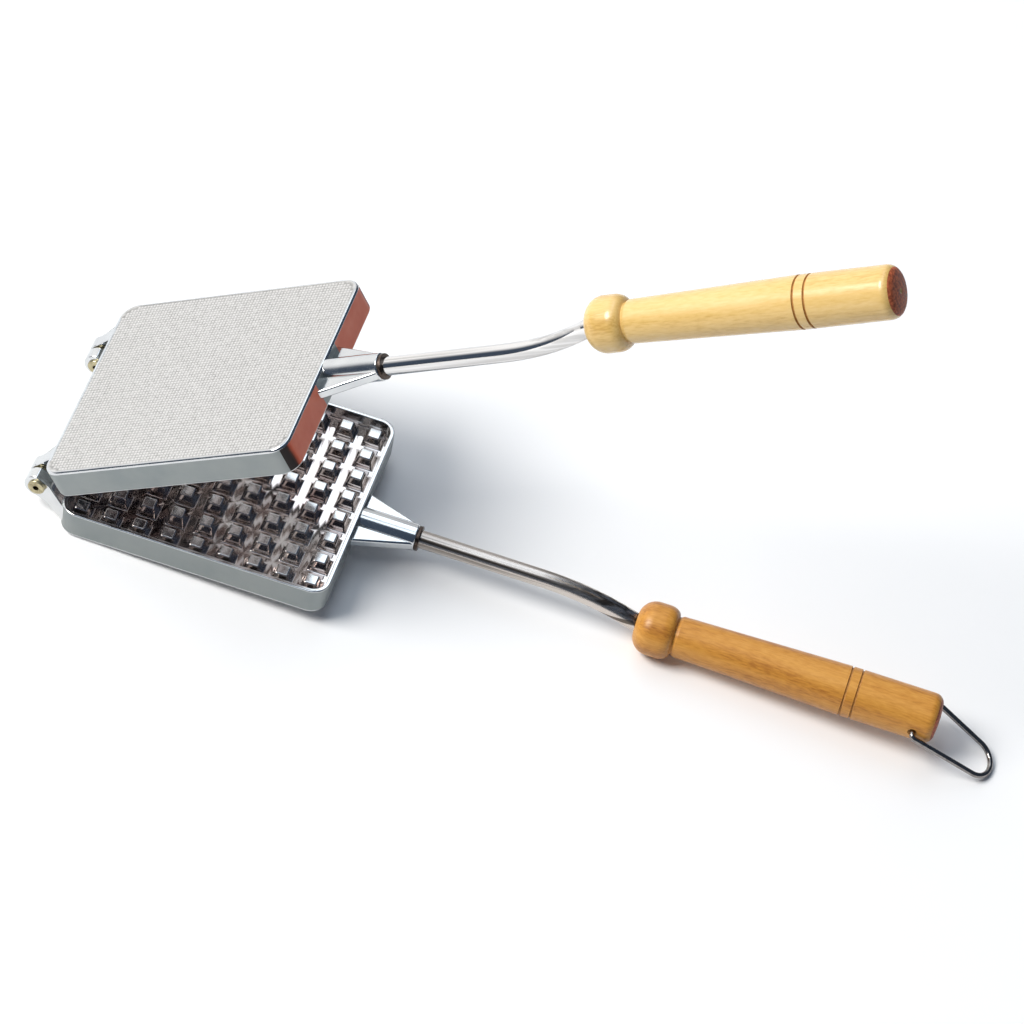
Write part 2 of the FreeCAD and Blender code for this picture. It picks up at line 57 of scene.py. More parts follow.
plate_length, plate_width, plate_thickness = 136 * mm, 120 * mm, 15.6 * mm
hinge_reach, rim_top = 14.5 * mm, -0.15 * mm
rim_width, tray_depth, tray_corner = 2.2 * mm, 8 * mm, 6.8 * mm
plate_middle, wall_front = hinge_reach + plate_length / 2, hinge_reach + plate_length
tray_half = Vector((plate_length / 2 - rim_width, plate_width / 2 - rim_width))
corner_centre = tray_half - Vector((tray_corner, tray_corner))
tray_floor, plate_back = rim_top - tray_depth, rim_top - plate_thickness


def start_finish(name, metallic=0.0):
    """A new finish: its node tree, its shader and the piece's own coordinates."""
    finish = bpy.data.materials.new(name)
    finish.use_nodes = True
    tree = finish.node_tree
    shader = tree.nodes["Principled BSDF"]
    shader.inputs["Metallic"].default_value = metallic
    return finish, tree, shader, tree.nodes.new("ShaderNodeTexCoord").outputs["Object"]


def mottle(tree, coords, scale, detail=3.0, stretch=(1, 1, 1)):
    """Cloudy variation over a surface, drawn out along an axis where stretch is small."""
    mapping = tree.nodes.new("ShaderNodeMapping")
    mapping.inputs["Scale"].default_value = stretch
    noise = tree.nodes.new("ShaderNodeTexNoise")
    noise.inputs["Scale"].default_value = scale
    noise.inputs["Detail"].default_value = detail
    tree.links.new(coords, mapping.inputs["Vector"])
    tree.links.new(mapping.outputs["Vector"], noise.inputs["Vector"])
    return noise.outputs["Fac"]


def spread(tree, amount, low, high, target, start=0.3, stop=0.7):
    """Drives a shader value from low to high with a varying amount."""
    remap = tree.nodes.new("ShaderNodeMapRange")
    for name, number in (("From Min", start), ("From Max", stop), ("To Min", low), ("To Max", high)):
        remap.inputs[name].default_value = number
    tree.links.new(amount, remap.inputs["Value"])
    tree.links.new(remap.outputs["Result"], target)


def tint(tree, shader, amount, stops):
    """A base colour that runs through several stops with a varying amount."""
    node = tree.nodes.new("ShaderNodeValToRGB")
    while len(node.color_ramp.elements) < len(stops):
        node.color_ramp.elements.new(0.5)
    for element, (position, colour) in zip(node.color_ramp.elements, stops):
        element.position = position
        element.color = (*colour, 1)
    tree.links.new(amount, node.inputs["Fac"])
    tree.links.new(node.outputs["Color"], shader.inputs["Base Color"])


def roughen(tree, shader, height, depth):
    """Fine relief that is too small for the mesh."""
    bump = tree.nodes.new("ShaderNodeBump")
    bump.inputs["Distance"].default_value = depth
    bump.inputs["Strength"].default_value = 1.0
    tree.links.new(height, bump.inputs["Height"])
    tree.links.new(bump.outputs["Normal"], shader.inputs["Normal"])


def blend(tree, fine, share, broad):
    """Adds a share of a fine variation to a broad one."""
    node = tree.nodes.new("ShaderNodeMath")
    node.operation = "MULTIPLY_ADD"
    node.inputs[1].default_value = share
    tree.links.new(fine, node.inputs[0])
    tree.links.new(broad, node.inputs[2])
    return node.outputs["Value"]


cast_bright, tree, shader, coords = start_finish("bright_cast_aluminium", 1.0)
clouds = mottle(tree, coords, 70, 4)
tint(tree, shader, clouds, [(0.3, (0.60, 0.61, 0.62)), (0.7, (0.70, 0.71, 0.71))])
spread(tree, clouds, 0.10, 0.18, shader.inputs["Roughness"])
roughen(tree, shader, mottle(tree, coords, 900, 2), 0.01 * mm)

# Satin outer walls, with a dark base colour that is painted dark reflection.
dark_painted_wall_finish, tree, shader, coords = start_finish("satin_wall_aluminium_painted_dark", 1.0)
clouds = mottle(tree, coords, 60, 4)
tint(tree, shader, clouds, [(0.3, (0.25, 0.275, 0.275)), (0.7, (0.31, 0.33, 0.325))])
spread(tree, clouds, 0.36, 0.48, shader.inputs["Roughness"])
roughen(tree, shader, mottle(tree, coords, 1600, 2), 0.03 * mm)

# The tray's floor and stud sides take a darker, warmer tone than the stud tops and rim: painted shade in the
# tray.
shaded_mould_finish, tree, shader, coords = start_finish("polished_mould_aluminium_painted_shade", 1.0)
clouds = mottle(tree, coords, 40, 3)
tint(tree, shader, clouds, [(0.35, (0.52, 0.445, 0.43)), (0.6, (0.60, 0.56, 0.54))])
spread(tree, clouds, 0.05, 0.09, shader.inputs["Roughness"])
roughen(tree, shader, mottle(tree, coords, 150, 1), 0.005 * mm)

# The stipple's tone runs from dark valleys to light points: partly wear, partly painted glints and painted
# shade.
back_stipple, tree, shader, coords = start_finish("stippled_back_aluminium_worn_and_glints", 1.0)
wear_and_glint = tree.nodes.new("ShaderNodeAttribute")
wear_and_glint.attribute_name = "worn_and_glint_point"
grains_and_glints = blend(tree, mottle(tree, coords, 500, 2), 0.6, wear_and_glint.outputs["Fac"])
tint(tree, shader, grains_and_glints, [(0.2, (0.33, 0.325, 0.315)), (0.6, (0.60, 0.59, 0.575)),
                            (1.0, (0.77, 0.76, 0.745))])
spread(tree, grains_and_glints, 0.34, 0.26, shader.inputs["Roughness"], 0, 1)

# Painted reflection: the red-brown stands in for a red-brown object reflected in the wall, the near-black
# for a dark one at its corners.
painted_red_reflection_finish, tree, shader, coords = start_finish("painted_red_reflection_front_wall")
corner_dark_attribute = tree.nodes.new("ShaderNodeAttribute")
corner_dark_attribute.attribute_name = "corner_painted_dark"
reflection_and_corner_dark = blend(tree, mottle(tree, coords, 120, 4), 0.35, corner_dark_attribute.outputs["Fac"])
tint(tree, shader, reflection_and_corner_dark, [(0.05, (0.86, 0.25, 0.15)), (0.3, (0.74, 0.14, 0.07)),
                           (0.7, (0.09, 0.03, 0.02)), (1.0, (0.03, 0.022, 0.02))])
spread(tree, reflection_and_corner_dark, 0.4, 0.6, shader.inputs["Roughness"])
shader.inputs["Specular IOR Level"].default_value = 0.25
roughen(tree, shader, mottle(tree, coords, 900, 2), 0.06 * mm)


def quarter_round(along, up, radius, start, stop, cuts=4, rise=None):
    """Points round a quarter of a circle, or of an ellipse where it rises by another radius."""
    turns = [math.radians(start + (stop - start) * cut / cuts) for cut in range(cuts + 1)]
    return [(along + radius * math.cos(turn), up + (rise or radius) * math.sin(turn)) for turn in turns]


floor_round, rim_round, edge_round, back_round = 0.6 * mm, 0.4 * mm, 0.6 * mm, 1.5 * mm
tray_section = quarter_round(-floor_round, tray_floor + floor_round, floor_round, -90, 0)[1:]
rim_section = quarter_round(rim_round, rim_top - rim_round, rim_round, 180, 90)
rim_section += quarter_round(rim_width - edge_round, rim_top - edge_round, edge_round, 90, 0)
back_section = quarter_round(rim_width - back_round, plate_back + back_round, back_round, 0, -90)


def from_centre(point):
    """How a point lies from the nearest corner's centre, or from the sides between the corners."""
    flat = Vector((point.x - plate_middle, point.y))
    inner = Vector([max(-side, min(side, along)) for along, side in zip(flat, corner_centre)])
    return (flat - inner).to_3d()


def outward(point):
    """Which way leads out of the tray at a point of its outline."""
    return from_centre(point).normalized()


def from_corner(point):
    """How far in a point lies from the nearest corner of the tray, along and across."""
    return Vector((tray_half.x - abs(point.x - plate_middle), tray_half.y - abs(point.y)))


stud_columns, stud_rows = 9, 8
stud_pitch = Vector((2 * tray_half.x / stud_columns, 2 * tray_half.y / stud_rows))
groove_half, stud_slope, stud_height, stud_round = 2.57 * mm, 1.6 * mm, 6.4 * mm, 0.8 * mm
stud_shoulder = tray_floor + 0.98 * stud_height
corner_cuts = 4


def add_stud_field(bm):
    """The tray's floor with its rows of tapered studs and rounded corners."""
    matrix = Matrix.Translation((plate_middle, 0, tray_floor)) @ Matrix.Diagonal((*tray_half, 1, 1))
    bmesh.ops.create_grid(bm, x_segments=stud_columns, y_segments=stud_rows, size=1, matrix=matrix)
    cells = bm.faces[:]
    bmesh.ops.inset_individual(bm, faces=cells, thickness=groove_half, use_even_offset=True)
    bmesh.ops.inset_individual(bm, faces=cells, thickness=stud_slope, depth=stud_height,
                               use_even_offset=True)
    edges = {edge for cell in cells for edge in cell.edges}
    edges = {edge for top in edges for face in top.link_faces for edge in face.edges}
    bmesh.ops.bevel(bm, geom=list(edges), offset=stud_round, segments=3, profile=0.5, affect="EDGES",
                    clamp_overlap=True, material=-1)
    ends = [edge for edge in bm.edges if edge.is_boundary
            and min(from_corner(vert.co).length for vert in edge.verts) < hair]
    bmesh.ops.bisect_edges(bm, edges=ends, cuts=corner_cuts)
    for vert in [vert for vert in bm.verts if vert.is_boundary]:
        steps = [round(inset / pitch * (corner_cuts + 1))
                 for inset, pitch in zip(from_corner(vert.co), stud_pitch)]
        if max(steps) <= corner_cuts:
            turn = math.radians(45 + 45 * (steps[0] - steps[1]) / corner_cuts)
            vert.co.x = plate_middle + math.copysign(corner_centre.x + tray_corner * math.cos(turn),
                                                     vert.co.x - plate_middle)
            vert.co.y = math.copysign(corner_centre.y + tray_corner * math.sin(turn), vert.co.y)
    for vert in bm.verts:
        if vert.is_boundary:
            vert.co -= outward(vert.co) * floor_round


def parts_of(geometry, kind):
    """The verts, edges or faces among what an operator made."""
    return [part for part in geometry if isinstance(part, kind)]


def draw_wall(bm, edges, reach, section, finish):
    """Draws a wall from an open outline through the points of a section."""
    for out, height in section:
        made = bmesh.ops.extrude_edge_only(bm, edges=edges)["geom"]
        for vert in parts_of(made, bmesh.types.BMVert):
            vert.co += outward(vert.co) * (out - reach)
            vert.co.z = height
        faces = parts_of(made, bmesh.types.BMFace)
        for face in faces:
            face.material_index = finish
        edges = [edge for edge in parts_of(made, bmesh.types.BMEdge) if edge.is_boundary]
        reach = out
    return edges, faces


stipple_pitch, stipple_margin, stipple_height = 1.75 * mm, 2.0 * mm, 0.36 * mm
stipple_half = Vector((plate_length / 2 - stipple_margin, plate_width / 2 - stipple_margin))
stipple_corner = tray_corner + rim_width - 0.9 * stipple_margin


def add_back(bm, edges, finish):
    """The back's border and the cells of its stipple, sunk so that their points will lie level with it."""
    matrix = Matrix.Translation((plate_middle, 0, plate_back)) @ Matrix.Diagonal((*stipple_half, -1, 1))
    columns, rows = (round(2 * half / stipple_pitch) for half in stipple_half)
    grid = bmesh.ops.create_grid(bm, x_segments=columns, y_segments=rows, size=1, matrix=matrix)["verts"]
    beyond = [vert for vert in grid if from_centre(vert.co).length > stipple_corner]
    bmesh.ops.delete(bm, geom=beyond, context="VERTS")
    grid = [vert for vert in grid if vert.is_valid]
    cells = list({face for vert in grid for face in vert.link_faces})
    border = list({edge for vert in grid for edge in vert.link_edges if edge.is_boundary})
    bmesh.ops.translate(bm, verts=grid, vec=(0, 0, stipple_height))
    made = bmesh.ops.triangle_fill(bm, use_beauty=True, edges=edges + border, normal=(0, 0, -1))["geom"]
    for face in cells + parts_of(made, bmesh.types.BMFace):
        face.material_index = finish
    return cells


knuckle_radius, knuckle_width, rivet_hole, knuckle_edge = 6.5 * mm, 7 * mm, 2.55 * mm, 0.7 * mm
arm_root, arm_high, arm_low = hinge_reach + 0.8 * rim_width, -2 * mm, plate_back + 3.7 * mm
arm_flare, knuckle_middles = 6 * mm, (-46.7 * mm, 38.3 * mm)
knuckle_corner = math.radians(69)


def add_knuckle(bm, middle):
    """A round eye on an arm that runs out of the rear wall and spreads there to its open side."""
    before = set(bm.verts)
    flat = Matrix.Translation((0, middle - knuckle_width / 2, 0)) @ Matrix.Rotation(math.pi / 2, 4, "X")
    eye = bmesh.ops.create_circle(bm, segments=48, radius=knuckle_radius, matrix=flat)["verts"]
    bmesh.ops.delete(bm, geom=[vert for vert in eye if vert.co.x > hair], context="VERTS")
    ends = [vert for vert in eye if vert.is_valid and len(vert.link_edges) == 1]
    ends.sort(key=lambda vert: vert.co.z)
    roots = [bm.verts.new((arm_root, middle - knuckle_width / 2, height)) for height in (arm_low, arm_high)]
    for pair in ((ends[0], roots[0]), roots, (roots[1], ends[1])):
        bm.edges.new(pair)
    bmesh.ops.create_circle(bm, segments=32, radius=rivet_hole, matrix=flat)
    outline = {edge for vert in bm.verts if vert not in before for edge in vert.link_edges}
    made = bmesh.ops.triangle_fill(bm, use_beauty=True, edges=list(outline), normal=(0, -1, 0))["geom"]
    cheek = parts_of(made, bmesh.types.BMFace)
    made = bmesh.ops.extrude_face_region(bm, geom=cheek, use_keep_orig=True)["geom"]
    bmesh.ops.translate(bm, verts=parts_of(made, bmesh.types.BMVert), vec=(0, knuckle_width, 0))
    eye_and_arm = {part for vert in bm.verts if vert not in before
                   for part in (vert, *vert.link_edges, *vert.link_faces)}
    bmesh.ops.bisect_plane(bm, geom=list(eye_and_arm), plane_co=(knuckle_radius, 0, 0), plane_no=(1, 0, 0))
    for vert in bm.verts:
        if vert not in before and vert.co.x > arm_root - hair and vert.co.y < middle:
            vert.co.y -= arm_flare
    rims = {edge for vert in bm.verts if vert not in before for edge in vert.link_edges
            if len(edge.link_faces) == 2 and edge.calc_face_angle() > knuckle_corner
            and edge.verts[0].co.xz.length > rivet_hole + hair
            and min(vert.co.x for vert in edge.verts) < arm_root - hair}
    bmesh.ops.bevel(bm, geom=list(rims), offset=knuckle_edge, segments=3, profile=0.5, affect="EDGES",
                    clamp_overlap=True, material=-1)


def add_turned(bm, points, height, steps=64):
    """A shape turned about a line along X at a height, from points along it and out from it."""
    before = set(bm.verts)
    verts = [bm.verts.new((along, 0, height + radius)) for along, radius in points]
    edges = [bm.edges.new(pair) for pair in zip(verts, verts[1:])]
    bmesh.ops.spin(bm, geom=verts + edges, cent=(0, 0, height), axis=(1, 0, 0), angle=2 * math.pi,
                   steps=steps, use_merge=True)
    made = [vert for vert in bm.verts if vert not in before]
    bmesh.ops.remove_doubles(bm, verts=made, dist=speck)


socket_axis, socket_radius, socket_end = -8.6 * mm, 6.8 * mm, wall_front + 29 * mm
socket_bore, socket_floor, socket_edge, mouth_edge = 4.55 * mm, wall_front + 3 * mm, 0.8 * mm, 0.3 * mm
web_root_half, web_half, web_edge, web_end = 16.5 * mm, 2.5 * mm, 1.2 * mm, socket_end - 1 * mm


def add_socket(bm):
    """The barrel that takes the rod, between two flat webs that spread towards the wall."""
    inside = wall_front - rim_width / 2
    mouth = quarter_round(socket_end - socket_edge, socket_radius - socket_edge, socket_edge, 90, 0)
    add_turned(bm, [(inside, 0), (inside, socket_radius), *mouth, (socket_end, socket_bore + mouth_edge),
                    (socket_end - mouth_edge, socket_bore), (socket_floor, socket_bore), (socket_floor, 0)],
               socket_axis)
    corners = [(inside, -web_root_half), (web_end, -socket_radius),
               (web_end, socket_radius), (inside, web_root_half)]
    sheet = bm.faces.new([bm.verts.new((x, y, socket_axis - web_half)) for x, y in corners])
    made = bmesh.ops.extrude_face_region(bm, geom=[sheet], use_keep_orig=True)["geom"]
    top = parts_of(made, bmesh.types.BMVert)
    bmesh.ops.translate(bm, verts=top, vec=(0, 0, 2 * web_half))
    sides = {edge for vert in [*sheet.verts, *top] for edge in vert.link_edges
             if abs(edge.verts[0].co.x - edge.verts[1].co.x) > web_half}
    bmesh.ops.bevel(bm, geom=list(sides), offset=web_edge, segments=4, profile=0.5, affect="EDGES",
                    clamp_overlap=True, material=-1)


crease = math.radians(38)


def set_piece(name, bm, place, finishes, body, slot, *nodes, faceted=None):
    """A finished piece: its mesh set in place, with its finishes, on the body that carries it."""
    bmesh.ops.transform(bm, matrix=place, verts=bm.verts)
    for face in bm.faces:
        face.smooth = face.material_index != faceted
    mesh = bpy.data.meshes.new(name)
    bm.to_mesh(mesh)
    bm.free()
    mesh.set_sharp_from_angle(angle=crease)
    for finish in finishes:
        mesh.materials.append(finish)
    made = bpy.data.objects.new(name, mesh)
    bpy.context.scene.collection.objects.link(made)
    made.modifiers.new("even_shading", "WEIGHTED_NORMAL").keep_sharp = True
    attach(made, body)
    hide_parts(*nodes)


plate_finishes = [cast_bright, shaded_mould_finish, dark_painted_wall_finish, back_stipple, painted_red_reflection_finish]
bright, shaded_mould, wall, stipple, red = range(len(plate_finishes))
# The upper plate's front wall carries a painted red-brown reflection on both sides of the socket, with a
# painted dark reflection at its corners.
# The points of the stipple and its border are lighter than its valleys: partly wear, partly painted glints
# on the points and painted shade in the valleys.
red_from, red_facing, painted_dark_from, painted_dark_to, border_wear_and_sheen = 14 * mm, 0.6, 53.5 * mm, 56.5 * mm, 0.45
for half, place in places.items():
    bm = bmesh.new()
    painted_dark_layer = bm.verts.layers.float.new("corner_painted_dark")
    worn_and_glint = bm.verts.layers.float.new("worn_and_glint_point")
    add_stud_field(bm)
    for face in bm.faces:
        # Stud tops take the rim's lighter finish and the rest of the tray the darker one, so the painted
        # shade lies in the tray.
        face.material_index = bright if face.calc_center_median().z > stud_shoulder else shaded_mould
    outline = [edge for edge in bm.edges if edge.is_boundary]
    outline, _ = draw_wall(bm, outline, -floor_round, tray_section, shaded_mould)
    outline, _ = draw_wall(bm, outline, 0, rim_section, bright)
    outline, outer_wall = draw_wall(bm, outline, rim_width, back_section[:1], wall)
    outline, _ = draw_wall(bm, outline, rim_width, back_section[1:], bright)
    cells = add_back(bm, outline, stipple)
    for middle in knuckle_middles:
        add_knuckle(bm, middle)
    add_socket(bm)
    bmesh.ops.recalc_face_normals(bm, faces=bm.faces)
    for face in outer_wall:
        centre = face.calc_center_median()
        if half == "upper" and outward(centre).x > red_facing and abs(centre.y) > red_from:
            face.material_index = red
    # The corner layer sets where the painted dark reflection darkens the red wall.
    for vert in bm.verts:
        vert[painted_dark_layer] = min(1, max(0, (abs(vert.co.y) - painted_dark_from) / (painted_dark_to - painted_dark_from)))
        vert[worn_and_glint] = border_wear_and_sheen if abs(vert.co.z - plate_back) < hair else 0
    # The stipple's points are painted brightest: partly wear, partly painted glint.
    for vert in bmesh.ops.poke(bm, faces=cells, offset=stipple_height)["verts"]:
        vert[worn_and_glint] = 1
    set_piece(f"{half}_casting", bm, place, plate_finishes, f"{half}_half", "cast_aluminium",
              f"{half}_plate", faceted=stipple)

# The hinge's rivets, spacers and washers: tubular brass, a little tarnished.
# Each rivet runs through two knuckles and is formed over a washer at its far end.
brass_dull, tree, shader, coords = start_finish("tarnished_brass", 1.0)
tarnish = mottle(tree, coords, 350, 4)
tint(tree, shader, tarnish, [(0.3, (0.26, 0.22, 0.13)), (0.7, (0.56, 0.50, 0.32))])
spread(tree, tarnish, 0.2, 0.38, shader.inputs["Roughness"])


def dress(name, finish):
    """Gives a solid that is shown as it is its finish."""
    frame["nodes"][name].data.materials.clear()
    frame["nodes"][name].data.materials.append(finish)


for hinge_side in ("near", "far"):
    for piece in ("rivet", "spacer", "washer"):
        dress(f"{hinge_side}_hinge_{piece}", brass_dull)

# The rods: round bars of polished stainless steel with an S-bend, pinned into socket and handle.
# Drawing leaves fine lines along them. The lower rod is the duller one, and its much darker tones along the
# lines are painted dark reflection.
rod_tones_and_painted_dark = {
    "lower": (0.32, 0.24, (0.13, 0.108, 0.09), (0.62, 0.56, 0.51)),
    "upper": (0.12, 0.06, (0.60, 0.585, 0.57), (0.80, 0.785, 0.77)),
}


def lengthwise(tree, coords, place):
    """Coordinates that run along a half of the iron, whichever way it is turned."""
    mapping = tree.nodes.new("ShaderNodeMapping")
    mapping.vector_type = "TEXTURE"
    mapping.inputs["Location"].default_value = place.translation
    mapping.inputs["Rotation"].default_value = place.to_euler()
    tree.links.new(coords, mapping.inputs["Vector"])
    return mapping.outputs["Vector"]


for half, place in places.items():
    rod_bright, tree, shader, coords = start_finish(f"{half}_rod_polished_steel", 1.0)
    # The lower rod's dark tone is painted dark reflection; the upper rod's tones are the steel's own.
    dull, glossy, dark, light = rod_tones_and_painted_dark[half]
    marks = mottle(tree, lengthwise(tree, coords, place), 450, 3, (0.012, 1, 1))
    tint(tree, shader, marks, [(0.41, dark), (0.56, light)])
    spread(tree, marks, dull, glossy, shader.inputs["Roughness"])
    dress(f"{half}_rod", rod_bright)

# The collars: thin dark steel rings that close the mouths of the sockets round the rods.
# They are pressed on the rod and lie against the socket.
dark_ring, tree, shader, coords = start_finish("dark_steel_ring", 1.0)
tarnish = mottle(tree, coords, 400, 3)
tint(tree, shader, tarnish, [(0.3, (0.05, 0.035, 0.028)), (0.7, (0.13, 0.10, 0.085))])
spread(tree, tarnish, 0.25, 0.4, shader.inputs["Roughness"])
collar_radius, collar_length, collar_edge = 6.3 * mm, 1.8 * mm, 0.4 * mm
collar_end = socket_end + collar_length
for half, place in places.items():
    bm = bmesh.new()
    back = quarter_round(socket_end + collar_edge, collar_radius - collar_edge, collar_edge, 180, 90)
    front = quarter_round(collar_end - collar_edge, collar_radius - collar_edge, collar_edge, 90, 0)
    add_turned(bm, [(socket_end, socket_bore), *back, *front, (collar_end, socket_bore),
                    (socket_end, socket_bore)], socket_axis)
    bmesh.ops.recalc_face_normals(bm, faces=bm.faces)
    set_piece(f"{half}_ring", bm, place, [dark_ring], f"{half}_half", "dark_steel", f"{half}_collar")

# The handles: beech turned on a lathe and lacquered, with a round bead against the rod, a narrow neck,
# a tapered grip with two scorched rings, and a stained end, painted darker as shade, with the lathe's centre
# mark.
# The lower one has a countersunk hole across it for the hanging loop.
bead_front, handle_axis, handle_length = socket_end + 114 * mm, -19 * mm, 155 * mm
bead_length, bead_radius, bead_dome, bead_back = 20 * mm, 13.5 * mm, 9 * mm, 6 * mm
neck_width, neck_radius = 1.6 * mm, 9.4 * mm
grip_front, grip_radius, grip_edge = 10.25 * mm, 12.5 * mm, 0.5 * mm
ring_place, ring_spacing, ring_width, ring_depth = 110.2 * mm, 5.4 * mm, 1.2 * mm, 0.7 * mm
end_round, end_crown, mouth_radius, mouth_depth = 5 * mm, 0.5 * mm, 5.4 * mm, 6 * mm
centre_radius, centre_depth, stain_reach = 1.3 * mm, 0.9 * mm, 0.35 * end_round
loop_hole, loop_inset, sink_radius, sink_depth, sink_proud = 1.48 * mm, 11 * mm, 2.5 * mm, 1.2 * mm, 1 * mm


def wood_finish(name, place, lacquer, haze, pale, warm, deep):
    """Lacquered beech with its grain along the handle, in three tones."""
    finish, tree, shader, coords = start_finish(name)
    along = lengthwise(tree, coords, place)
    figure = mottle(tree, along, 90, 5, (0.08, 1, 1))
    flecks = mottle(tree, along, 1100, 2, (0.2, 1, 1))
    tint(tree, shader, blend(tree, flecks, 0.5, figure), [(0.55, pale), (0.76, warm), (0.95, deep)])
    spread(tree, flecks, 0.36, 0.5, shader.inputs["Roughness"])
    shader.inputs["Specular IOR Level"].default_value = 0.3
    shader.inputs["Coat Weight"].default_value = lacquer
    shader.inputs["Coat Roughness"].default_value = haze
    roughen(tree, shader, flecks, 0.03 * mm)
    return finish


def stain_finish(name, pale, dark):
    """Dark wood: a scorched groove, or an end grain soaked with stain and painted darker as shade."""
    finish, tree, shader, coords = start_finish(name)
    pores = mottle(tree, coords, 700, 4)
    tint(tree, shader, pores, [(0.35, dark), (0.65, pale)])
    spread(tree, pores, 0.35, 0.55, shader.inputs["Roughness"])
    shader.inputs["Specular IOR Level"].default_value = 0.2
    return finish


def cut_away(bm, tool):
    """Takes one shape out of another."""
    shapes = []
    for shape in (bm, tool):
        mesh = bpy.data.meshes.new("cut")
        shape.to_mesh(mesh)
        shape.free()
        shapes.append(bpy.data.objects.new("cut", mesh))
        bpy.context.scene.collection.objects.link(shapes[-1])
    shapes[0].modifiers.new("cut", "BOOLEAN").object = shapes[1]
    result = bmesh.new()
    result.from_object(shapes[0], bpy.context.evaluated_depsgraph_get())
    for shape in shapes:
        bpy.data.meshes.remove(shape.data)
    return result


scorched = stain_finish("scorched_ring_wood", (0.50, 0.25, 0.075), (0.36, 0.165, 0.045))
end_stain_and_shade = stain_finish("stained_and_shaded_end_wood", (0.62, 0.16, 0.07), (0.24, 0.06, 0.025))
wood_tones = {
    "lower": (0.3, 0.33, (0.645, 0.312, 0.060), (0.54, 0.235, 0.035), (0.35, 0.125, 0.016)),
    "upper": (1.0, 0.24, (0.75, 0.515, 0.20), (0.69, 0.45, 0.14), (0.555, 0.325, 0.078)),
}
slots = {"lower": "lacquered_wood_orange", "upper": "lacquered_wood_golden"}
ring, stain = 1, 2
for half, place in places.items():
    profile = [(mouth_depth, 0), (mouth_depth, mouth_radius)]
    profile += quarter_round(bead_dome, bead_radius - bead_dome, bead_dome, 180, 90, 12)[2:]
    profile += quarter_round(bead_length - bead_back, neck_radius, bead_back, 90, 0, 8,
                             bead_radius - neck_radius)
    grip_start = bead_length + neck_width
    profile += [(bead_length + neck_width / 3, neck_radius), (grip_start, grip_front - grip_edge / 2),
                (grip_start + grip_edge, grip_front)]
    for middle in (ring_place - ring_spacing / 2, ring_place + ring_spacing / 2):
        profile += [(middle - ring_width / 2, grip_radius),
                    (middle - ring_width / 6, grip_radius - ring_depth),
                    (middle + ring_width / 6, grip_radius - ring_depth),
                    (middle + ring_width / 2, grip_radius)]
    crown_edge = handle_length - end_crown
    profile += quarter_round(crown_edge - end_round, grip_radius - end_round, end_round, 90, 0, 6)
    profile += [(handle_length - end_crown / 4, grip_radius / 3), (handle_length, centre_radius),
                (handle_length - centre_depth, 0)]
    bm = bmesh.new()
    add_turned(bm, [(bead_front + along, radius) for along, radius in profile], handle_axis)
    bmesh.ops.recalc_face_normals(bm, faces=bm.faces)
    for face in bm.faces:
        centre = face.calc_center_median()
        along = centre.x - bead_front
        radius = Vector((centre.y, centre.z - handle_axis)).length
        # The end faces take the stain with painted shade.
        if along > crown_edge - stain_reach and radius > centre_radius:
            face.material_index = stain
        elif abs(along - ring_place) < ring_spacing and radius < grip_radius - 0.2 * ring_depth:
            face.material_index = ring
    if half == "lower":
        tool = bmesh.new()
        deep, wide = grip_radius - sink_depth, grip_radius + sink_proud
        side = [(deep, loop_hole), (grip_radius, sink_radius), (wide, sink_radius), (wide, 0)]
        add_turned(tool, [(-along, radius) for along, radius in reversed(side)] + side, 0, 32)
        bmesh.ops.recalc_face_normals(tool, faces=tool.faces)
        for face in tool.faces:
            face.material_index = ring
        across = Matrix.Translation((bead_front + handle_length - loop_inset, 0, handle_axis))
        bmesh.ops.transform(tool, matrix=across @ Matrix.Rotation(math.pi / 2, 4, "Z"), verts=tool.verts)
        bm = cut_away(bm, tool)
    wood = wood_finish(f"{half}_handle_beech", place, *wood_tones[half])
    set_piece(f"{half}_grip", bm, place, [wood, scorched, end_stain_and_shade], f"{half}_half", slots[half],
              f"{half}_handle")

# The pins: plain steel pins driven into socket and handle from the side that faces the table.
# Their rounded ends stand a hair proud of the surface.
pin_proud, pin_edge, pin_depth = 0.15 * mm, 0.3 * mm, 5 * mm
socket_pin_inset, socket_pin_radius = 14 * mm, 1.5 * mm
handle_pin_inset, handle_pin_radius, grip_at_pin = 60 * mm, 1.25 * mm, 11.23 * mm
pin_places = {
    "socket_pin": (socket_end - socket_pin_inset, socket_axis, socket_radius, socket_pin_radius),
    "handle_pin": (bead_front + handle_pin_inset, handle_axis, grip_at_pin, handle_pin_radius),
}
for half, place in places.items():
    down = 1 if half == "lower" else -1
    for name, (along, axis, surface, radius) in pin_places.items():
        bm = bmesh.new()
        end = surface + pin_proud
        add_turned(bm, [(end - pin_depth, 0), (end - pin_depth, radius),
                        *quarter_round(end - pin_edge, radius - pin_edge, pin_edge, 90, 0), (end, 0)], 0, 24)
        bmesh.ops.recalc_face_normals(bm, faces=bm.faces)
        stand = Matrix.Translation((along, 0, axis)) @ Matrix.Rotation(down * math.pi / 2, 4, "Y")
        set_piece(f"{half}_{name}_end", bm, place @ stand, [dark_ring], f"{half}_half", "dark_steel",
                  f"{half}_{name}")

# The hanging loop: one length of dark drawn steel wire, bent round to a narrow tip.
# Its two ends are hooked into the hole across the lower handle, and it swings there.
wire_dark, tree, shader, coords = start_finish("dark_drawn_wire", 1.0)
marks = mottle(tree, coords, 500, 3)
tint(tree, shader, marks, [(0.3, (0.20, 0.185, 0.175)), (0.7, (0.34, 0.32, 0.305))])
spread(tree, marks, 0.1, 0.2, shader.inputs["Roughness"])
dress("hanging_loop", wire_dark)

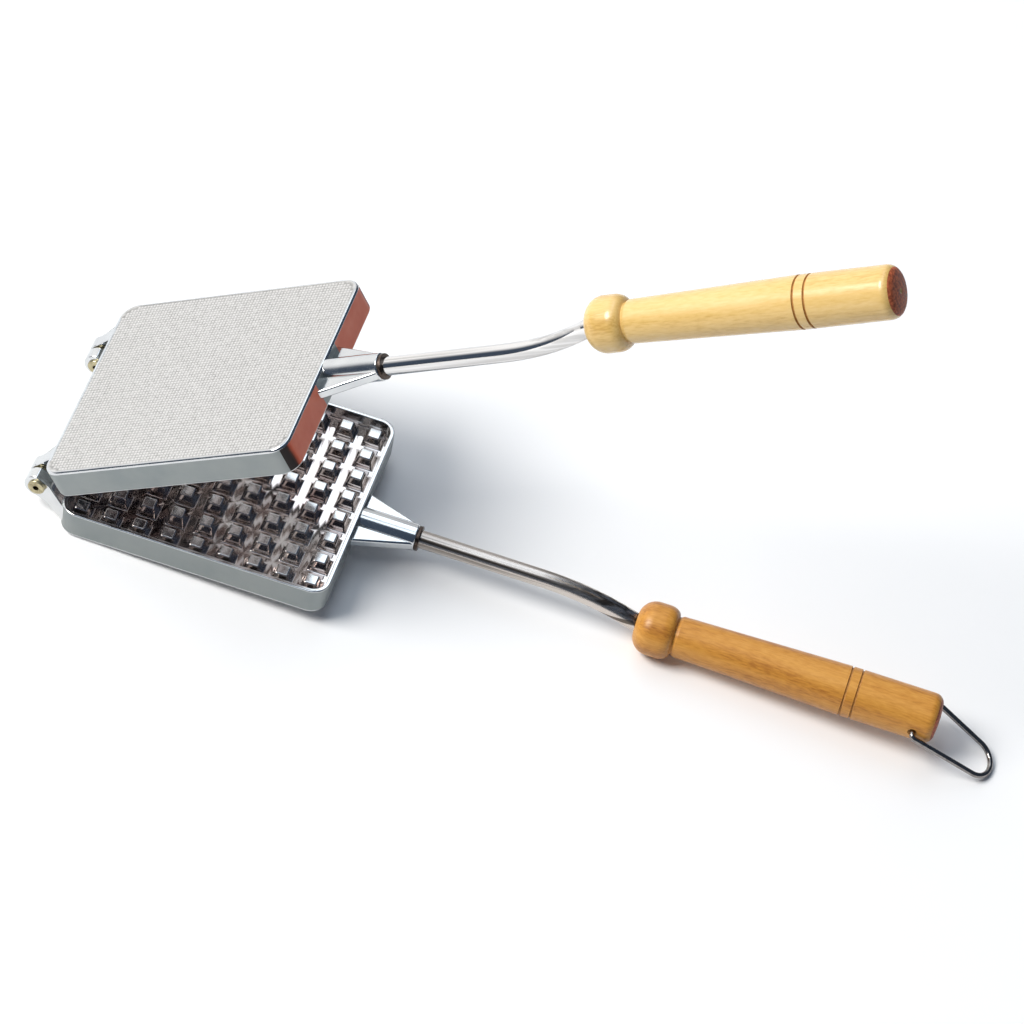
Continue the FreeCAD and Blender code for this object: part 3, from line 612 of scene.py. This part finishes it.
# The table: a plain white sheet of matt paper, wide enough to fill the view.
# A trace of glow keeps the soft shadow of the iron from going black.
table_half = 3.0
paper, tree, shader, coords = start_finish("white_table")
shader.inputs["Base Color"].default_value = (0.92, 0.92, 0.92, 1)
shader.inputs["Roughness"].default_value = 0.9
shader.inputs["Specular IOR Level"].default_value = 0.0
shader.inputs["Emission Color"].default_value = (1, 1, 1, 1)
shader.inputs["Emission Strength"].default_value = 0.015
bm = bmesh.new()
bmesh.ops.create_grid(bm, x_segments=1, y_segments=1, size=table_half)
mesh = bpy.data.meshes.new("table")
bm.to_mesh(mesh)
bm.free()
mesh.materials.append(paper)
table = bpy.data.objects.new("table", mesh)
bpy.context.scene.collection.objects.link(table)

# The light: a soft lamp on the left, a long narrow bank overhead that runs from front to back,
# and dim surroundings that are brighter on the left, so that the polished metal shows light and dark.
bright_side, fades_from, fades_to = Vector((-0.75, 0.6, 0.28)), 0.95, 0.5
dim_shade, bright_shade, room_strength = (0.05, 0.068, 0.10, 1), (1.0, 1.0, 1.0, 1), 1.2
world = bpy.data.worlds.new("studio")
bpy.context.scene.world = world
world.use_nodes = True
tree = world.node_tree
surround = tree.nodes["Background"]
surround.inputs["Strength"].default_value = room_strength
towards = tree.nodes.new("ShaderNodeVectorMath")
towards.operation = "DOT_PRODUCT"
towards.inputs[1].default_value = bright_side.normalized()
tree.links.new(tree.nodes.new("ShaderNodeTexCoord").outputs["Generated"], towards.inputs[0])
falloff = tree.nodes.new("ShaderNodeMapRange")
falloff.interpolation_type = "SMOOTHSTEP"
falloff.inputs["From Min"].default_value = fades_to
falloff.inputs["From Max"].default_value = fades_from
tree.links.new(towards.outputs["Value"], falloff.inputs["Value"])
shades = tree.nodes.new("ShaderNodeValToRGB")
shades.color_ramp.elements[0].color = dim_shade
shades.color_ramp.elements[1].color = bright_shade
tree.links.new(falloff.outputs["Result"], shades.inputs["Fac"])
tree.links.new(shades.outputs["Color"], surround.inputs["Color"])


def add_lamp(name, location, target, size, power, colour):
    """A soft lamp that shines at a point, wide and long as its size says."""
    data = bpy.data.lights.new(name, "AREA")
    data.shape = "RECTANGLE"
    data.size, data.size_y = size
    data.energy = power
    data.color = colour
    lamp = bpy.data.objects.new(name, data)
    lamp.location = location
    lamp.rotation_euler = (Vector(target) - Vector(location)).to_track_quat("-Z", "Y").to_euler()
    bpy.context.scene.collection.objects.link(lamp)


key_place, key_aim, key_size = (-3.7, -1.6, 4.4), (0, 0, 0.05), (2.6, 2.6)
key_power, key_colour = 384, (1.0, 0.98, 0.95)
add_lamp("key_lamp", key_place, key_aim, key_size, key_power, key_colour)
bank_place, bank_aim, bank_size = (-0.38, 0.45, 1.6), (-0.38, 0.45, 0), (0.55, 2.1)
bank_power, bank_colour = 7.3, (0.80, 0.90, 1.0)
add_lamp("overhead_bank", bank_place, bank_aim, bank_size, bank_power, bank_colour)

# The camera: the photograph's own viewpoint, from above the front of the iron through a long lens.
# It is turned and rolled so that the handles run out to the right, one high and one low.
camera_place, sensor, focal_length = Vector((0.064277, -1.470768, 1.759755)), 36, 164.463
tilt, roll, turn = math.radians(39.5431), math.radians(-11.4185), math.radians(16.6713)
camera_data = bpy.data.cameras.new("camera")
camera_data.sensor_width = sensor
camera_data.lens = focal_length
camera = bpy.data.objects.new("camera", camera_data)
camera.matrix_world = Matrix.LocRotScale(camera_place, Euler((tilt, roll, turn)), None)
bpy.context.scene.collection.objects.link(camera)
bpy.context.scene.camera = camera
bpy.context.scene.view_settings.view_transform = "Standard"
